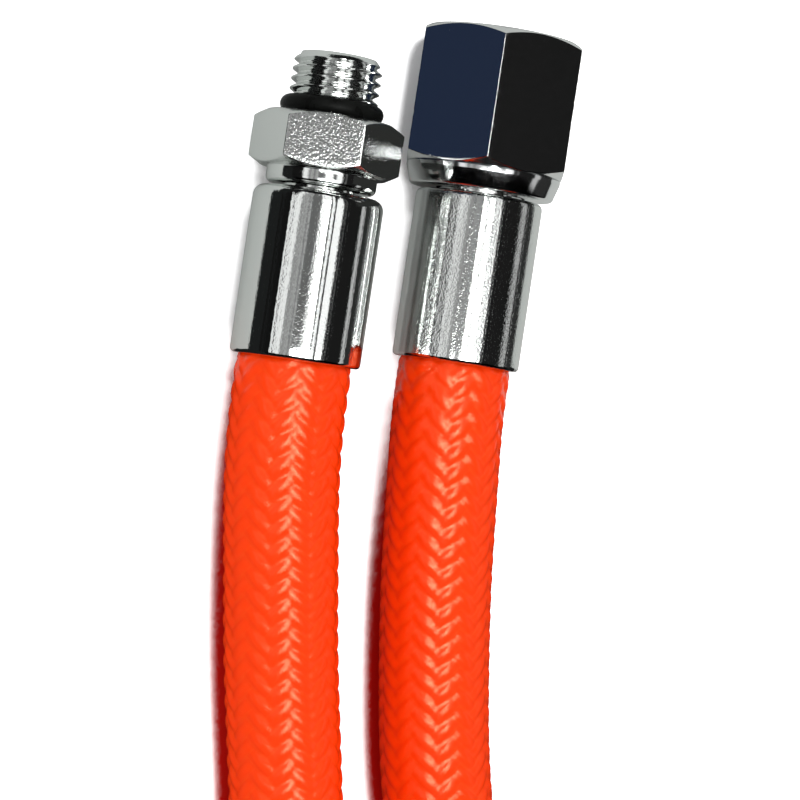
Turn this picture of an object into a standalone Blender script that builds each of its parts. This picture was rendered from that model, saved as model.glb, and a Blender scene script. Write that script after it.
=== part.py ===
"""Braided low-pressure hose for a breathing regulator, lying with its two ends side by side.

One end is a fixed male fitting with a 3/8 inch, 24-thread nose that seals on an O-ring. The
other is a stem with a flange and a sealing nose, held in a nut that turns freely on it. Each
fitting has a barbed tail that is pushed into the hose, and a thin metal sleeve, the ferrule,
is pressed over hose and tail. Fine threads and the braid are left plain here.

Units are metres. Both fittings point along +Y and lie on the plane z = 0. The origin is at
the bottom centre of the two fittings together. A fitting's own measure s runs along its axis
from the mouth of its ferrule, where the hose comes out, to its free end.
"""

import math

import bmesh
import bpy
import numpy as np
from mathutils import Matrix, Vector

# Clearance between pieces that touch on the real hose, and facets around a full turn
GAP = 0.0003
ROUND_STEPS = 36
ARC_STEPS = 3

# Hose
HOSE_D = 0.0122
HOSE_CRIMPED_D = 0.0116
HOSE_POINT_SPACING = 0.0148
HOSE_SWELL_LENGTH = 0.0018
BORE_RELIEF = 0.0006

# Ferrules
FERRULE_WALL = 0.0009
FERRULE_LIP = 0.0014
MALE_FERRULE_SHOULDER_ROUND = 0.0012
FEMALE_FERRULE_SHOULDER_ROUND = 0.0006
FERRULE_MOUTH_ROUND = 0.00045
MALE_FERRULE_LENGTH = 0.0180
FEMALE_FERRULE_LENGTH = 0.0184

# Barbed tail with the collar that the ferrule's lip locks behind
TAIL_LENGTH = 0.0135
TAIL_ROOT_D = 0.0046
BARB_D = 0.0055
BARB_COUNT = 5
BARB_PITCH = 0.0024
BARB_RAMP = 0.0017
COLLAR_D = 0.0094
COLLAR_LENGTH = 0.0009
LOCK_GROOVE_D = 0.0078
THROUGH_BORE_D = 0.0032

# Male fitting
MALE_NECK_D = 0.0118
MALE_NECK_LENGTH = 0.00175
MALE_NECK_ROUND = 0.0005
MALE_HEX_AF = 0.0140
MALE_HEX_LENGTH = 0.00585
MALE_O_RING_D = 0.0110
MALE_O_RING_SECTION_D = 0.0019
MALE_THREAD_D = 0.0095
MALE_THREAD_LENGTH = 0.0041
MALE_THREAD_CHAMFER = 0.0006
NOSE_BORE_D = 0.0050
NOSE_BORE_DEPTH = 0.0080

# Female stem
STEM_NECK_D = 0.0092
STEM_FLANGE_D = 0.0122
STEM_FLANGE_LENGTH = 0.0030
STEM_NOSE_D = 0.0079
STEM_NOSE_SHOULDER = 0.0010
STEM_NOSE_LIP = 0.0009
STEM_NOSE_CHAMFER = 0.0004
STEM_GROOVE_D = 0.0059
STEM_O_RING_SECTION_D = 0.0017
STEM_MOUTH_D = 0.0040

# Swivel nut
NUT_GAP = 0.0004
NUT_AF = 0.0170
NUT_COLLAR_D = 0.0169
NUT_COLLAR_LENGTH = 0.0023
NUT_COLLAR_ROUND = 0.0012
NUT_HEX_LENGTH = 0.0150
NUT_BACK_WALL = 0.0047
NUT_THREAD_MINOR_D = 0.0128
NUT_THREAD_MAJOR_D = 0.0143
NUT_RELIEF_LENGTH = 0.0022

# Chamfer of both hexagons: turned at this slope, from a circle just inside the flats
HEX_CHAMFER_SLOPE = math.tan(math.radians(30.0))
HEX_FACE_INSET = 0.0003

# How the two ends lie beside each other
FITTING_SPACING = 0.0194
FEMALE_AHEAD = 0.00234

# Places that follow from the sizes above
FERRULE_R = HOSE_CRIMPED_D / 2 + GAP + FERRULE_WALL
MALE_HEX_CORNER_R = MALE_HEX_AF / math.sqrt(3.0)
NUT_CORNER_R = NUT_AF / math.sqrt(3.0)
NUT_BOTTOM_S = FEMALE_FERRULE_LENGTH + NUT_GAP
NUT_TOP_S = NUT_BOTTOM_S + NUT_COLLAR_LENGTH + NUT_HEX_LENGTH
MALE_HALF_WIDTH = max(MALE_HEX_AF / 2, FERRULE_R)
MALE_AXIS_X = -(FITTING_SPACING + NUT_CORNER_R - MALE_HALF_WIDTH) / 2
FEMALE_AXIS_X = MALE_AXIS_X + FITTING_SPACING
MALE_MOUTH_Y = -(FEMALE_AHEAD + NUT_TOP_S) / 2
FEMALE_MOUTH_Y = MALE_MOUTH_Y + FEMALE_AHEAD
MALE_AXIS_Z = MALE_HEX_CORNER_R
FEMALE_AXIS_Z = NUT_AF / 2

# Route of the hose's free stretch, from the male end round the loop to the female end. The
# first and last few points come down from the fittings to the surface the hose lies on.
FREE_ROUTE = [
    (-0.0109, -0.0260, 0.00795), (-0.0102, -0.0320, 0.00760), (-0.0085, -0.0410, 0.00700),
    (-0.0066, -0.0505, 0.00645), (-0.0045, -0.0600, 0.00615), (-0.0014, -0.0840, 0.00610),
    (-0.0068, -0.1052, 0.00610), (-0.0209, -0.1257, 0.00610), (-0.0275, -0.1399, 0.00610),
    (-0.0297, -0.1637, 0.00610), (-0.0220, -0.1864, 0.00610), (-0.0057, -0.2040, 0.00610),
    (0.0164, -0.2134, 0.00610), (0.0403, -0.2130, 0.00610), (0.0621, -0.2028, 0.00610),
    (0.0778, -0.1847, 0.00610), (0.0847, -0.1618, 0.00610), (0.0817, -0.1380, 0.00610),
    (0.0693, -0.1175, 0.00610), (0.0571, -0.1077, 0.00610), (0.0354, -0.0954, 0.00610),
    (0.0213, -0.0787, 0.00610), (0.0147, -0.0605, 0.00615), (0.0126, -0.0500, 0.00645),
    (0.0108, -0.0400, 0.00710), (0.0093, -0.0300, 0.00795), (0.0084, -0.0220, 0.00840),
]


def clear_scene():
    for old in list(bpy.data.objects):
        bpy.data.objects.remove(old, do_unlink=True)


def collection(name):
    made = bpy.data.collections.new(name)
    bpy.context.scene.collection.children.link(made)
    return made


def material(name, colour, roughness, metallic):
    made = bpy.data.materials.new(name)
    made.use_nodes = True
    shader = made.node_tree.nodes["Principled BSDF"]
    shader.inputs["Base Color"].default_value = (*colour, 1.0)
    shader.inputs["Roughness"].default_value = roughness
    shader.inputs["Metallic"].default_value = metallic
    made.diffuse_color = (*colour, 1.0)
    return made


def rounded_outline(corners):
    """Turn corners (radius, s, fillet) of a closed outline into points with arcs at fillets."""
    points = []
    for index, (r, s, fillet) in enumerate(corners):
        here = Vector((r, s))
        if fillet == 0:
            points.append(here)
            continue
        before = (Vector(corners[index - 1][:2]) - here).normalized()
        after = (Vector(corners[(index + 1) % len(corners)][:2]) - here).normalized()
        half_angle = before.angle(after) / 2
        centre = here + (before + after).normalized() * fillet / math.sin(half_angle)
        first = here + before * fillet / math.tan(half_angle) - centre
        last = here + after * fillet / math.tan(half_angle) - centre
        turn = first.angle_signed(last)
        for step in range(ARC_STEPS + 1):
            points.append(centre + Matrix.Rotation(-turn * step / ARC_STEPS, 2) @ first)
    return points


def turned(name, corners, finish, end):
    """A ring turned about its end's axis. Its outline runs down outside and up the bore."""
    points = rounded_outline(corners)
    mesh = bpy.data.meshes.new(name)
    edges = [(i, (i + 1) % len(points)) for i in range(len(points))]
    mesh.from_pydata([(p.x, 0.0, p.y) for p in points], edges, [])
    mesh.materials.append(finish)
    piece = bpy.data.objects.new(name, mesh)
    parts.objects.link(piece)
    piece.parent = end
    screw = piece.modifiers.new("turn", "SCREW")
    screw.axis = "Z"
    screw.angle = math.tau
    screw.steps = ROUND_STEPS
    screw.render_steps = ROUND_STEPS
    screw.use_merge_vertices = True
    screw.merge_threshold = 0.00001
    screw.use_smooth_shade = True
    return piece


def mill_hexagon(piece, across_flats, length, first_corner_deg):
    """Keep what lies inside a hexagonal bar, as the flats are milled on a turned blank."""
    mesh = bpy.data.meshes.new(piece.name + "_hexagon")
    bar = bmesh.new()
    corner_r = across_flats / math.sqrt(3.0)
    bmesh.ops.create_cone(bar, cap_ends=True, segments=6, radius1=corner_r, radius2=corner_r,
                          depth=length * 2)
    bar.verts.ensure_lookup_table()
    vertex_angle = math.atan2(bar.verts[0].co.y, bar.verts[0].co.x)
    turn = math.radians(first_corner_deg) - vertex_angle
    bmesh.ops.rotate(bar, cent=(0, 0, 0), matrix=Matrix.Rotation(turn, 3, "Z"), verts=bar.verts)
    bar.to_mesh(mesh)
    bar.free()
    cutter = bpy.data.objects.new(mesh.name, mesh)
    cutters.objects.link(cutter)
    cutter.parent = piece.parent
    cutter.hide_render = True
    cutter.display_type = "WIRE"
    flats = piece.modifiers.new("flats", "BOOLEAN")
    flats.operation = "INTERSECT"
    flats.solver = "EXACT"
    flats.object = cutter


def fitting_end(name, x, y, z):
    """Empty at a ferrule's mouth, its own Z along the fitting's axis."""
    end = bpy.data.objects.new(name, None)
    parts.objects.link(end)
    end.location = (x, y, z)
    end.rotation_euler = (math.radians(-90.0), 0.0, 0.0)
    return end


def hex_band(across_flats, bottom_s, top_s):
    """Outline of a hexagon's turned blank, chamfered at both ends, from top to bottom."""
    face_r = across_flats / 2 - HEX_FACE_INSET
    blank_r = across_flats / math.sqrt(3.0) + GAP
    drop = (blank_r - face_r) * HEX_CHAMFER_SLOPE
    return [(face_r, top_s, 0), (blank_r, top_s - drop, 0),
            (blank_r, bottom_s + drop, 0), (face_r, bottom_s, 0)]


def collar_top_s(ferrule_length):
    return ferrule_length - FERRULE_LIP - GAP


def hose_end_s(ferrule_length):
    return collar_top_s(ferrule_length) - COLLAR_LENGTH - GAP


def tail_outline(ferrule_length):
    """Lock groove, collar and barbs, down to the tip and into the through bore."""
    collar_top = collar_top_s(ferrule_length)
    collar_bottom = collar_top - COLLAR_LENGTH
    tip = collar_bottom - TAIL_LENGTH
    root_r, barb_r = TAIL_ROOT_D / 2, BARB_D / 2
    outline = [(LOCK_GROOVE_D / 2, collar_top, 0), (COLLAR_D / 2, collar_top, 0),
               (COLLAR_D / 2, collar_bottom, 0), (root_r, collar_bottom, 0)]
    for barb in reversed(range(BARB_COUNT)):
        ramp_start = tip + barb * BARB_PITCH
        outline += [(root_r, ramp_start + BARB_RAMP, 0), (barb_r, ramp_start + BARB_RAMP, 0),
                    (root_r, ramp_start, 0)]
    return outline + [(THROUGH_BORE_D / 2, tip, 0)]


def ferrule(name, length, shoulder_round, end):
    """Thin sleeve with its free edge rolled at the mouth and its top turned in to a lip."""
    inner_r = HOSE_CRIMPED_D / 2 + GAP
    lip_r = LOCK_GROOVE_D / 2 + GAP
    return turned(name, [
        (FERRULE_R, length, shoulder_round),
        (FERRULE_R, 0, FERRULE_MOUTH_ROUND),
        (inner_r, 0, 0),
        (inner_r, length - FERRULE_LIP, 0),
        (lip_r, length - FERRULE_LIP, 0),
        (lip_r, length, 0)], chrome, end)


def o_ring(name, outer_d, section_d, centre_s, end):
    """Round-section ring around the fitting's axis."""
    section_r = section_d / 2
    ring_r = outer_d / 2 - section_r
    sides = 10
    corners = []
    for side in range(sides):
        angle = math.pi / 2 - math.tau * (side + 0.5) / sides
        corners.append((ring_r + section_r * math.cos(angle),
                        centre_s + section_r * math.sin(angle), 0))
    return turned(name, corners, seal_rubber, end)


def male_fitting(end):
    """Tail, round neck, hexagon, O-ring groove and threaded nose, turned from one bar."""
    neck_bottom = MALE_FERRULE_LENGTH + GAP
    hex_bottom = neck_bottom + MALE_NECK_LENGTH
    hex_top = hex_bottom + MALE_HEX_LENGTH
    groove_top = hex_top + MALE_O_RING_SECTION_D + 2 * GAP
    nose_top = groove_top + MALE_THREAD_LENGTH
    groove_r = MALE_O_RING_D / 2 - MALE_O_RING_SECTION_D - GAP
    thread_r = MALE_THREAD_D / 2
    bore_r, nose_bore_r = THROUGH_BORE_D / 2, NOSE_BORE_D / 2
    bore_step = nose_top - NOSE_BORE_DEPTH
    piece = turned("male_end_fitting", [
        (thread_r - MALE_THREAD_CHAMFER, nose_top, 0),
        (thread_r, nose_top - MALE_THREAD_CHAMFER, 0),
        (thread_r, groove_top + MALE_THREAD_CHAMFER, 0),
        (thread_r - MALE_THREAD_CHAMFER, groove_top, 0),
        (groove_r, groove_top, 0),
        (groove_r, hex_top, 0),
        *hex_band(MALE_HEX_AF, hex_bottom, hex_top),
        (MALE_NECK_D / 2, hex_bottom, 0),
        (MALE_NECK_D / 2, neck_bottom, MALE_NECK_ROUND),
        (LOCK_GROOVE_D / 2, neck_bottom, 0),
        *tail_outline(MALE_FERRULE_LENGTH),
        (bore_r, bore_step - (nose_bore_r - bore_r), 0),
        (nose_bore_r, bore_step, 0),
        (nose_bore_r, nose_top, 0)], chrome, end)
    mill_hexagon(piece, MALE_HEX_AF, nose_top + TAIL_LENGTH, 90.0)
    o_ring("male_o_ring", MALE_O_RING_D, MALE_O_RING_SECTION_D,
           hex_top + GAP + MALE_O_RING_SECTION_D / 2, end)


def female_fitting(end):
    """Stem that the nut turns on: tail, neck, flange, and a nose with its O-ring groove."""
    neck_bottom = FEMALE_FERRULE_LENGTH + GAP
    flange_bottom = NUT_BOTTOM_S + NUT_BACK_WALL + GAP
    flange_top = flange_bottom + STEM_FLANGE_LENGTH
    groove_bottom = flange_top + STEM_NOSE_SHOULDER
    groove_top = groove_bottom + STEM_O_RING_SECTION_D + 2 * GAP
    nose_top = groove_top + STEM_NOSE_LIP
    nose_r = STEM_NOSE_D / 2
    mouth_depth = (STEM_MOUTH_D - THROUGH_BORE_D) / 2
    turned("female_stem", [
        (nose_r - STEM_NOSE_CHAMFER, nose_top, 0),
        (nose_r, nose_top - STEM_NOSE_CHAMFER, 0),
        (nose_r, groove_top, 0),
        (STEM_GROOVE_D / 2, groove_top, 0),
        (STEM_GROOVE_D / 2, groove_bottom, 0),
        (nose_r, groove_bottom, 0),
        (nose_r, flange_top, 0),
        (STEM_FLANGE_D / 2, flange_top, STEM_NOSE_CHAMFER),
        (STEM_FLANGE_D / 2, flange_bottom, 0),
        (STEM_NECK_D / 2, flange_bottom, 0),
        (STEM_NECK_D / 2, neck_bottom, 0),
        (LOCK_GROOVE_D / 2, neck_bottom, 0),
        *tail_outline(FEMALE_FERRULE_LENGTH),
        (THROUGH_BORE_D / 2, nose_top - mouth_depth, 0),
        (STEM_MOUTH_D / 2, nose_top, 0)], chrome, end)
    ring_d = STEM_GROOVE_D + 2 * GAP + 2 * STEM_O_RING_SECTION_D
    o_ring("female_stem_o_ring", ring_d, STEM_O_RING_SECTION_D,
           groove_bottom + GAP + STEM_O_RING_SECTION_D / 2, end)


def swivel_nut(end):
    """Nut with a round collar at the back, whose wall turns on the stem's neck."""
    shoulder = NUT_BOTTOM_S + NUT_BACK_WALL
    hex_bottom = NUT_BOTTOM_S + NUT_COLLAR_LENGTH
    minor_r, major_r = NUT_THREAD_MINOR_D / 2, NUT_THREAD_MAJOR_D / 2
    thread_depth = major_r - minor_r
    relief_top = shoulder + NUT_RELIEF_LENGTH
    hole_r = STEM_NECK_D / 2 + GAP
    nut = turned("swivel_nut", [
        *hex_band(NUT_AF, hex_bottom, NUT_TOP_S),
        (NUT_COLLAR_D / 2, hex_bottom, 0),
        (NUT_COLLAR_D / 2, NUT_BOTTOM_S, NUT_COLLAR_ROUND),
        (hole_r, NUT_BOTTOM_S, 0),
        (hole_r, shoulder, 0),
        (major_r, shoulder, 0),
        (major_r, relief_top, 0),
        (minor_r, relief_top + thread_depth, 0),
        (minor_r, NUT_TOP_S - thread_depth, 0),
        (major_r, NUT_TOP_S, 0)], chrome, end)
    mill_hexagon(nut, NUT_AF, NUT_TOP_S * 2, 0.0)


def smooth_curve(route):
    """Points every half millimetre or so on a cubic curve through the route's points."""
    knots = np.array(route)
    count = len(knots)
    step = np.linalg.norm(np.diff(knots, axis=0), axis=1)
    lhs = np.eye(count)
    rhs = np.zeros((count, 3))
    for i in range(1, count - 1):
        lhs[i, i - 1:i + 2] = step[i - 1], 2 * (step[i - 1] + step[i]), step[i]
        slope = np.diff(knots[i - 1:i + 2], axis=0) / step[i - 1:i + 1, None]
        rhs[i] = 6 * (slope[1] - slope[0])
    bend = np.linalg.solve(lhs, rhs)
    points = []
    for i in range(count - 1):
        for part in np.arange(0, 1, 0.02):
            a, b = step[i] * (1 - part), step[i] * part
            points.append((bend[i] * a ** 3 + bend[i + 1] * b ** 3) / (6 * step[i])
                          + (knots[i] / step[i] - bend[i] * step[i] / 6) * a
                          + (knots[i + 1] / step[i] - bend[i + 1] * step[i] / 6) * b)
    points.append(knots[-1])
    curve = np.array(points)
    curve[:, 2] = np.maximum(curve[:, 2], HOSE_D / 2)
    return curve


def hose_route():
    """From the hose's end in one ferrule to its end in the other, straight in both."""
    route = []
    for depth in (hose_end_s(MALE_FERRULE_LENGTH), hose_end_s(MALE_FERRULE_LENGTH) / 2, 0):
        route.append((MALE_AXIS_X, MALE_MOUTH_Y + depth, MALE_AXIS_Z))
    route += FREE_ROUTE
    for depth in (0, hose_end_s(FEMALE_FERRULE_LENGTH) / 2, hose_end_s(FEMALE_FERRULE_LENGTH)):
        route.append((FEMALE_AXIS_X, FEMALE_MOUTH_Y + depth, FEMALE_AXIS_Z))
    return route


def bore_cutter(name, ferrule_length, end):
    """Round bar that opens the hose's end for the tail."""
    start = collar_top_s(ferrule_length) - COLLAR_LENGTH
    length = TAIL_LENGTH + BORE_RELIEF
    mesh = bpy.data.meshes.new(name)
    bar = bmesh.new()
    bore_r = BARB_D / 2 + GAP
    bmesh.ops.create_cone(bar, cap_ends=True, segments=ROUND_STEPS, radius1=bore_r,
                          radius2=bore_r, depth=length,
                          matrix=Matrix.Translation((0, 0, start - length / 2)))
    bar.to_mesh(mesh)
    bar.free()
    cutter = bpy.data.objects.new(name, mesh)
    cutters.objects.link(cutter)
    cutter.parent = end
    cutter.hide_render = True
    cutter.display_type = "WIRE"
    return cutter


def hose(male_end, female_end):
    """Plain tube along the route, slightly squeezed where the ferrules hold it."""
    curve_points = smooth_curve(hose_route())
    lengths = np.concatenate(
        ([0.0], np.cumsum(np.linalg.norm(np.diff(curve_points, axis=0), axis=1))))
    male_mouth = hose_end_s(MALE_FERRULE_LENGTH)
    female_mouth = lengths[-1] - hose_end_s(FEMALE_FERRULE_LENGTH)
    free_start, free_end = male_mouth + HOSE_SWELL_LENGTH, female_mouth - HOSE_SWELL_LENGTH
    free_count = max(2, round((free_end - free_start) / HOSE_POINT_SPACING))
    stations = [0.0, male_mouth, *np.linspace(free_start, free_end, free_count + 1),
                female_mouth, lengths[-1]]
    squeezed = HOSE_CRIMPED_D / HOSE_D

    line = bpy.data.curves.new("hose_line", "CURVE")
    line.dimensions = "3D"
    line.bevel_depth = HOSE_D / 2
    line.bevel_resolution = 4
    line.use_fill_caps = True
    spline = line.splines.new("POLY")
    spline.points.add(len(stations) - 1)
    for point, station in zip(spline.points, stations):
        place = [np.interp(station, lengths, curve_points[:, k]) for k in range(3)]
        point.co = (*place, 1.0)
        point.radius = squeezed if station <= male_mouth or station >= female_mouth else 1.0
    guide = bpy.data.objects.new("hose_line", line)
    parts.objects.link(guide)
    bpy.context.view_layer.update()

    depsgraph = bpy.context.evaluated_depsgraph_get()
    mesh = bpy.data.meshes.new_from_object(guide.evaluated_get(depsgraph))
    mesh.name = "hose"
    weld = bmesh.new()
    weld.from_mesh(mesh)
    bmesh.ops.remove_doubles(weld, verts=weld.verts, dist=0.00001)
    weld.to_mesh(mesh)
    weld.free()
    mesh.materials.clear()
    mesh.materials.append(braid)
    mesh.shade_smooth()
    mesh.set_sharp_from_angle(angle=math.radians(40.0))
    tube = bpy.data.objects.new("hose", mesh)
    tube.matrix_world = guide.matrix_world
    parts.objects.link(tube)
    bpy.data.objects.remove(guide, do_unlink=True)
    for name, length, end in (("male_tail_bore", MALE_FERRULE_LENGTH, male_end),
                              ("female_tail_bore", FEMALE_FERRULE_LENGTH, female_end)):
        bore = tube.modifiers.new(name, "BOOLEAN")
        bore.operation = "DIFFERENCE"
        bore.solver = "EXACT"
        bore.object = bore_cutter(name, length, end)


clear_scene()
parts = collection("braided_regulator_hose")
cutters = collection("cutters")
chrome = material("chrome_plate", (0.78, 0.78, 0.77), 0.12, 1.0)
seal_rubber = material("seal_rubber", (0.012, 0.012, 0.013), 0.35, 0.0)
braid = material("orange_braid", (1.0, 0.07, 0.01), 0.45, 0.0)

male = fitting_end("male_end", MALE_AXIS_X, MALE_MOUTH_Y, MALE_AXIS_Z)
female = fitting_end("female_end", FEMALE_AXIS_X, FEMALE_MOUTH_Y, FEMALE_AXIS_Z)
ferrule("male_ferrule", MALE_FERRULE_LENGTH, MALE_FERRULE_SHOULDER_ROUND, male)
male_fitting(male)
ferrule("female_ferrule", FEMALE_FERRULE_LENGTH, FEMALE_FERRULE_SHOULDER_ROUND, female)
female_fitting(female)
swivel_nut(female)
hose(male, female)
bpy.context.view_layer.update()
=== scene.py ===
"""Looks of the braided low-pressure hose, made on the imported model, in metres in its frame."""

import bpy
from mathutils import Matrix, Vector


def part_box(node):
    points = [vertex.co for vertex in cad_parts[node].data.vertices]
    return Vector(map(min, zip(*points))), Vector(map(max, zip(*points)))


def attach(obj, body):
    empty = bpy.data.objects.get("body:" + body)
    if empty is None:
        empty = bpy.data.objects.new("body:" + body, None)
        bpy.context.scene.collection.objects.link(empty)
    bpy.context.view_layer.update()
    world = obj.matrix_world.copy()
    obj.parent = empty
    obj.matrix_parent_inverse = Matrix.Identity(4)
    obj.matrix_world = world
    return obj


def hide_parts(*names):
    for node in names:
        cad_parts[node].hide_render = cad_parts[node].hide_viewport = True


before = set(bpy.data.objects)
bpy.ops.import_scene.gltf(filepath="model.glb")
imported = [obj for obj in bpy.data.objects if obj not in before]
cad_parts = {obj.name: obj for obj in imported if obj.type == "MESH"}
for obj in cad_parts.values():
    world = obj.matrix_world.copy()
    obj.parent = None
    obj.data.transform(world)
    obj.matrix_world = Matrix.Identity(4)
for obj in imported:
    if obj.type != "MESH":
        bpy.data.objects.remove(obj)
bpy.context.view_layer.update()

import math

import bmesh
import bpy
import numpy as np
from mathutils import Matrix, Vector


# Camera. It looks down on the two fittings from their left, sixty degrees above the surface
# they lie on, and so close that the hose runs out of the frame at the bottom.
toward_camera = Vector((-0.5, 0.0, math.sqrt(0.75)))
across_view = Vector((math.sqrt(0.75), 0.0, 0.5))
along_fittings = Vector((0.0, 1.0, 0.0))
camera_roll = math.radians(8.5)
picture_right = across_view * math.cos(camera_roll) + along_fittings * math.sin(camera_roll)
picture_up = along_fittings * math.cos(camera_roll) - across_view * math.sin(camera_roll)
camera_place = (-0.15100, -0.02170, 0.27373)
camera = bpy.data.objects.new("camera", bpy.data.cameras.new("camera"))
camera.data.sensor_width = 36.0
camera.data.lens = 127.6
camera.data.clip_start = 0.01
turned_to_view = Matrix((picture_right, picture_up, toward_camera)).transposed().to_4x4()
camera.matrix_world = Matrix.Translation(camera_place) @ turned_to_view
bpy.context.scene.collection.objects.link(camera)
bpy.context.scene.camera = camera


# Hose. A rubber tube in a cover braided from thirty-two flat orange yarns, sixteen each way,
# each of them over two and under two. Its ends sit on the fittings' barbed tails, squeezed by
# the ferrules, and between them it lies in one open loop on the surface.
HOSE_DIAMETER = 0.0122
HOSE_CORE_RADIUS = 0.00576
YARNS_EACH_WAY = 16
BRAID_PITCH = 0.00219
YARN_CROWN = 0.00026
YARN_WAVE = 0.00018
OTHER_YARNS_APART = 37.0
SQUEEZED_IN = 0.00026
SQUEEZED_FLAT = 0.45
SQUEEZE_START, SQUEEZE_RAMP = 0.0004, 0.0010
BRAID_TURN, BRAID_TURNED_BACK = 1.7, 3.9
TAIL_BORE_RADIUS = 0.00305
TAIL_BORE_DEPTH = 0.0141
MALE_HOSE_DEPTH = 0.0151
FEMALE_HOSE_DEPTH = 0.0155
FREE_ROUTE = [
    (-0.0109, -0.0260, 0.00795), (-0.0102, -0.0320, 0.00760), (-0.0085, -0.0410, 0.00700),
    (-0.0066, -0.0505, 0.00645), (-0.0045, -0.0600, 0.00615), (-0.0014, -0.0840, 0.00610),
    (-0.0068, -0.1052, 0.00610), (-0.0209, -0.1257, 0.00610), (-0.0275, -0.1399, 0.00610),
    (-0.0297, -0.1637, 0.00610), (-0.0220, -0.1864, 0.00610), (-0.0057, -0.2040, 0.00610),
    (0.0164, -0.2134, 0.00610), (0.0403, -0.2130, 0.00610), (0.0621, -0.2028, 0.00610),
    (0.0778, -0.1847, 0.00610), (0.0847, -0.1618, 0.00610), (0.0817, -0.1380, 0.00610),
    (0.0693, -0.1175, 0.00610), (0.0571, -0.1077, 0.00610), (0.0354, -0.0954, 0.00610),
    (0.0213, -0.0787, 0.00610), (0.0147, -0.0605, 0.00615), (0.0126, -0.0500, 0.00645),
    (0.0108, -0.0400, 0.00710), (0.0093, -0.0300, 0.00795), (0.0084, -0.0220, 0.00840),
]


def ferrule_mouth(node):
    """The point on a fitting's axis in the mouth of its ferrule, where s is 0."""
    low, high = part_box(node)
    return Vector(((low.x + high.x) / 2, low.y, (low.z + high.z) / 2))


def smooth_curve(route):
    """Points every tenth of a millimetre or so on a cubic curve through the route's points."""
    knots = np.array(route)
    count = len(knots)
    step = np.linalg.norm(np.diff(knots, axis=0), axis=1)
    lhs = np.eye(count)
    rhs = np.zeros((count, 3))
    for i in range(1, count - 1):
        lhs[i, i - 1:i + 2] = step[i - 1], 2 * (step[i - 1] + step[i]), step[i]
        slope = np.diff(knots[i - 1:i + 2], axis=0) / step[i - 1:i + 1, None]
        rhs[i] = 6 * (slope[1] - slope[0])
    bend = np.linalg.solve(lhs, rhs)
    pieces = []
    for i in range(count - 1):
        a = step[i] * (1 - np.arange(0, 1, 0.005))[:, None]
        b = step[i] - a
        pieces.append((bend[i] * a ** 3 + bend[i + 1] * b ** 3) / (6 * step[i])
                      + (knots[i] / step[i] - bend[i] * step[i] / 6) * a
                      + (knots[i + 1] / step[i] - bend[i + 1] * step[i] / 6) * b)
    curve = np.concatenate([*pieces, knots[-1:]])
    curve[:, 2] = np.maximum(curve[:, 2], HOSE_DIAMETER / 2)
    return curve


def braid_height(u, v):
    """How far the braid stands up where yarns u and v cross, with u and v in yarn widths."""
    tallest = np.zeros_like(u)
    for nudge_u in (-1e-6, 1e-6):
        for nudge_v in (-1e-6, 1e-6):
            i, j = np.floor(u + nudge_u), np.floor(v + nudge_v)
            crown_u = YARN_CROWN * (1 - np.abs(2 * (u - i) - 1) ** 2.2)
            crown_v = YARN_CROWN * (1 - np.abs(2 * (v - j) - 1) ** 2.2)
            wave_u = YARN_WAVE * np.cos(math.pi / 2 * (v - i))
            wave_v = YARN_WAVE * np.cos(math.pi / 2 * (u - j - 3))
            u_on_top = np.mod(i - j, 4) < 2
            tallest = np.maximum(tallest, np.where(u_on_top, wave_u + crown_u, wave_v + crown_v))
    return tallest


def stitched(lower, lower_turn, upper, upper_turn):
    """Triangles between two rings of vertices that don't have the same number."""
    faces, a, b = [], 0, 0
    while a < len(lower) or b < len(upper):
        angle_a = lower_turn[a] if a < len(lower) else 99.0
        angle_b = upper_turn[b] if b < len(upper) else 99.0
        if angle_a <= angle_b:
            faces.append((lower[a - 1], lower[a % len(lower)], upper[b - 1]))
            a += 1
        else:
            faces.append((lower[a - 1], upper[b % len(upper)], upper[b - 1]))
            b += 1
    return faces


def face_outward(mesh):
    """Turn every face of a closed mesh outward, and shade it smooth."""
    shape = bmesh.new()
    shape.from_mesh(mesh)
    bmesh.ops.recalc_face_normals(shape, faces=shape.faces)
    shape.to_mesh(mesh)
    shape.free()
    mesh.shade_smooth()


male_mouth = ferrule_mouth("male_ferrule")
female_mouth = ferrule_mouth("female_ferrule")
hose_knots = [male_mouth + along_fittings * depth
              for depth in (MALE_HOSE_DEPTH, MALE_HOSE_DEPTH / 2, 0.0)]
hose_knots += FREE_ROUTE
hose_knots += [female_mouth + along_fittings * depth
               for depth in (0.0, FEMALE_HOSE_DEPTH / 2, FEMALE_HOSE_DEPTH)]
hose_line = smooth_curve([tuple(knot) for knot in hose_knots])
line_length = np.concatenate(
    ([0.0], np.cumsum(np.linalg.norm(np.diff(hose_line, axis=0), axis=1))))
line_along = np.gradient(hose_line, line_length, axis=0)
whole_length = line_length[-1]
pitches = round(whole_length / BRAID_PITCH)
pitch = whole_length / pitches


def hose_ring(distance, turn, radius):
    """Points round the hose's line at one distance, turn measured from straight up."""
    centre = np.array([np.interp(distance, line_length, hose_line[:, k]) for k in range(3)])
    ahead = np.array([np.interp(distance, line_length, line_along[:, k]) for k in range(3)])
    ahead /= np.linalg.norm(ahead)
    side = np.cross(ahead, (0.0, 0.0, 1.0))
    side /= np.linalg.norm(side)
    top = np.cross(side, ahead)
    twist = math.radians(BRAID_TURN - BRAID_TURNED_BACK * distance / whole_length)
    outward = np.outer(np.cos(turn + twist), top) + np.outer(np.sin(turn + twist), side)
    return centre + outward * np.reshape(radius, (-1, 1))


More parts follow.
